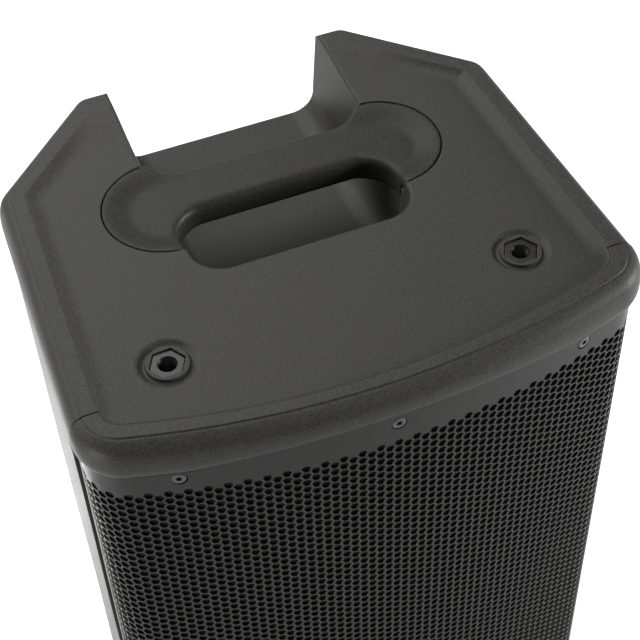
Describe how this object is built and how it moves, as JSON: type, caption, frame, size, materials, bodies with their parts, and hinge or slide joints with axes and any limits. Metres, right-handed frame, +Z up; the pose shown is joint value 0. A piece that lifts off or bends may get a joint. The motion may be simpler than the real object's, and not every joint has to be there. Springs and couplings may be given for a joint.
{
  "type": "portable powered loudspeaker",
  "caption": "Portable powered two-way loudspeaker: moulded grey cabinet, bowed perforated grille, top carrying handle over a rear notch, threaded rigging inserts and a rear amplifier panel.",
  "frame": {"origin": "on the floor under the middle of the cabinet, at the centre of the bounding box base", "axes": "+Z up, grille towards -Y, amplifier panel towards +Y, +X to the right seen from the front"},
  "size_m": [0.3324, 0.3028, 0.595],
  "materials": {
    "cabinet_plastic": "moulded fine grain, semi-matt",
    "handle_plastic": "moulded very fine grain, satin",
    "grille_steel": "perforated steel sheet, satin black powder coat",
    "acoustic_cloth": "open weave black cloth",
    "insert_metal": "blackened steel",
    "screw_black": "black oxide",
    "foot_rubber": "matt",
    "socket_plastic": "glass filled, matt",
    "basket_metal": "black coat",
    "plate_steel": "zinc plated",
    "magnet_ferrite": "sintered, dark grey",
    "cone_paper": "coated pulp",
    "surround_rubber": "matt roll",
    "spider_fabric": "resin dipped cloth",
    "coil_copper": "enamelled copper wire",
    "horn_plastic": "satin black",
    "diaphragm_metal": "thin foil",
    "panel_plastic": "fine grain black",
    "knob_plastic": "soft touch black",
    "display_glass": "tinted polished window",
    "board_laminate": "green solder mask",
    "heat_sink_metal": "mill finish extrusion",
    "capacitor_sleeve": "shrink sleeve",
    "wadding": "polyester wadding",
    "lead_sheath": "flexible insulation"
  },
  "bodies": {
    "cabinet": {"rear_cabinet": "cabinet_plastic", "front_baffle": "cabinet_plastic", "grille": "grille_steel", "grille_cloth": "acoustic_cloth", "handle_grip": "handle_plastic", "top_insert_left": "insert_metal", "bottom_insert_left": "insert_metal", "top_insert_right": "insert_metal", "bottom_insert_right": "insert_metal", "rear_insert": "insert_metal", "grille_screw_top_centre": "screw_black", "grille_screw_top_left": "screw_black", "grille_screw_top_right": "screw_black", "grille_screw_bottom_centre": "screw_black", "grille_screw_bottom_left": "screw_black", "grille_screw_bottom_right": "screw_black", "rubber_foot_1": "foot_rubber", "rubber_foot_2": "foot_rubber", "rubber_foot_3": "foot_rubber", "rubber_foot_4": "foot_rubber", "pole_socket": "socket_plastic", "woofer_basket": "basket_metal", "woofer_front_plate": "plate_steel", "woofer_magnet": "magnet_ferrite", "woofer_back_plate": "plate_steel", "woofer_surround": "surround_rubber", "woofer_spider": "spider_fabric", "horn_waveguide": "horn_plastic", "driver_body": "magnet_ferrite", "driver_diaphragm": "diaphragm_metal", "driver_cover": "panel_plastic", "port_tube_left": "horn_plastic", "port_tube_right": "horn_plastic", "amplifier_panel": "panel_plastic", "display_window": "display_glass", "display_module": "board_laminate", "encoder_body": "plate_steel", "combo_jack_1": "panel_plastic", "combo_jack_2": "panel_plastic", "line_out_socket": "panel_plastic", "mains_inlet": "panel_plastic", "switch_housing": "panel_plastic", "heat_sink": "heat_sink_metal", "amplifier_board": "board_laminate", "power_supply_board": "board_laminate", "reservoir_capacitor": "capacitor_sleeve", "damping_pad_left": "wadding", "damping_pad_right": "wadding", "woofer_lead": "lead_sheath", "driver_lead": "lead_sheath"},
    "woofer_cone_body": {"woofer_cone": "cone_paper", "woofer_dust_cap": "cone_paper", "voice_coil": "coil_copper"},
    "power_switch": {"switch_rocker": "knob_plastic"},
    "gain_1": {"gain_knob_1": "knob_plastic"},
    "gain_2": {"gain_knob_2": "knob_plastic"},
    "encoder_shaft": {"encoder_plunger": "plate_steel"},
    "encoder_cap": {"encoder_knob": "knob_plastic"},
    "latch_1": {"jack_latch_tab_1": "plate_steel"},
    "latch_2": {"jack_latch_tab_2": "plate_steel"}
  },
  "joints": [
    {"name": "cone_travel", "type": "slide", "parent": "cabinet", "child": "woofer_cone_body", "axis": [0, 1, 0], "range_m": [-0.005, 0.005], "stiffness_N_per_m": 2500, "deforming": ["woofer_surround", "woofer_spider"]},
    {"name": "power_switch_rock", "type": "hinge", "parent": "cabinet", "child": "power_switch", "pos_m": [-0.034, 0.1373, 0.106], "axis": [1, 0, 0], "range_deg": [-18, 0]},
    {"name": "gain_1_turn", "type": "hinge", "parent": "cabinet", "child": "gain_1", "pos_m": [0.03, 0.1403, 0.318], "axis": [0, 1, 0], "range_deg": [-150, 150]},
    {"name": "gain_2_turn", "type": "hinge", "parent": "cabinet", "child": "gain_2", "pos_m": [-0.03, 0.1403, 0.318], "axis": [0, 1, 0], "range_deg": [-150, 150]},
    {"name": "encoder_press", "type": "slide", "parent": "cabinet", "child": "encoder_shaft", "axis": [0, -1, 0], "range_m": [0, 0.0008], "stiffness_N_per_m": 600, "springref_m": -0.001},
    {"name": "encoder_turn", "type": "hinge", "parent": "encoder_shaft", "child": "encoder_cap", "pos_m": [-0.05, 0.1403, 0.372], "axis": [0, 1, 0], "continuous": true},
    {"name": "latch_1_press", "type": "slide", "parent": "cabinet", "child": "latch_1", "axis": [0, -1, 0], "range_m": [0, 0.0012], "stiffness_N_per_m": 300, "springref_m": -0.001},
    {"name": "latch_2_press", "type": "slide", "parent": "cabinet", "child": "latch_2", "axis": [0, -1, 0], "range_m": [0, 0.0012], "stiffness_N_per_m": 300, "springref_m": -0.001}
  ]
}
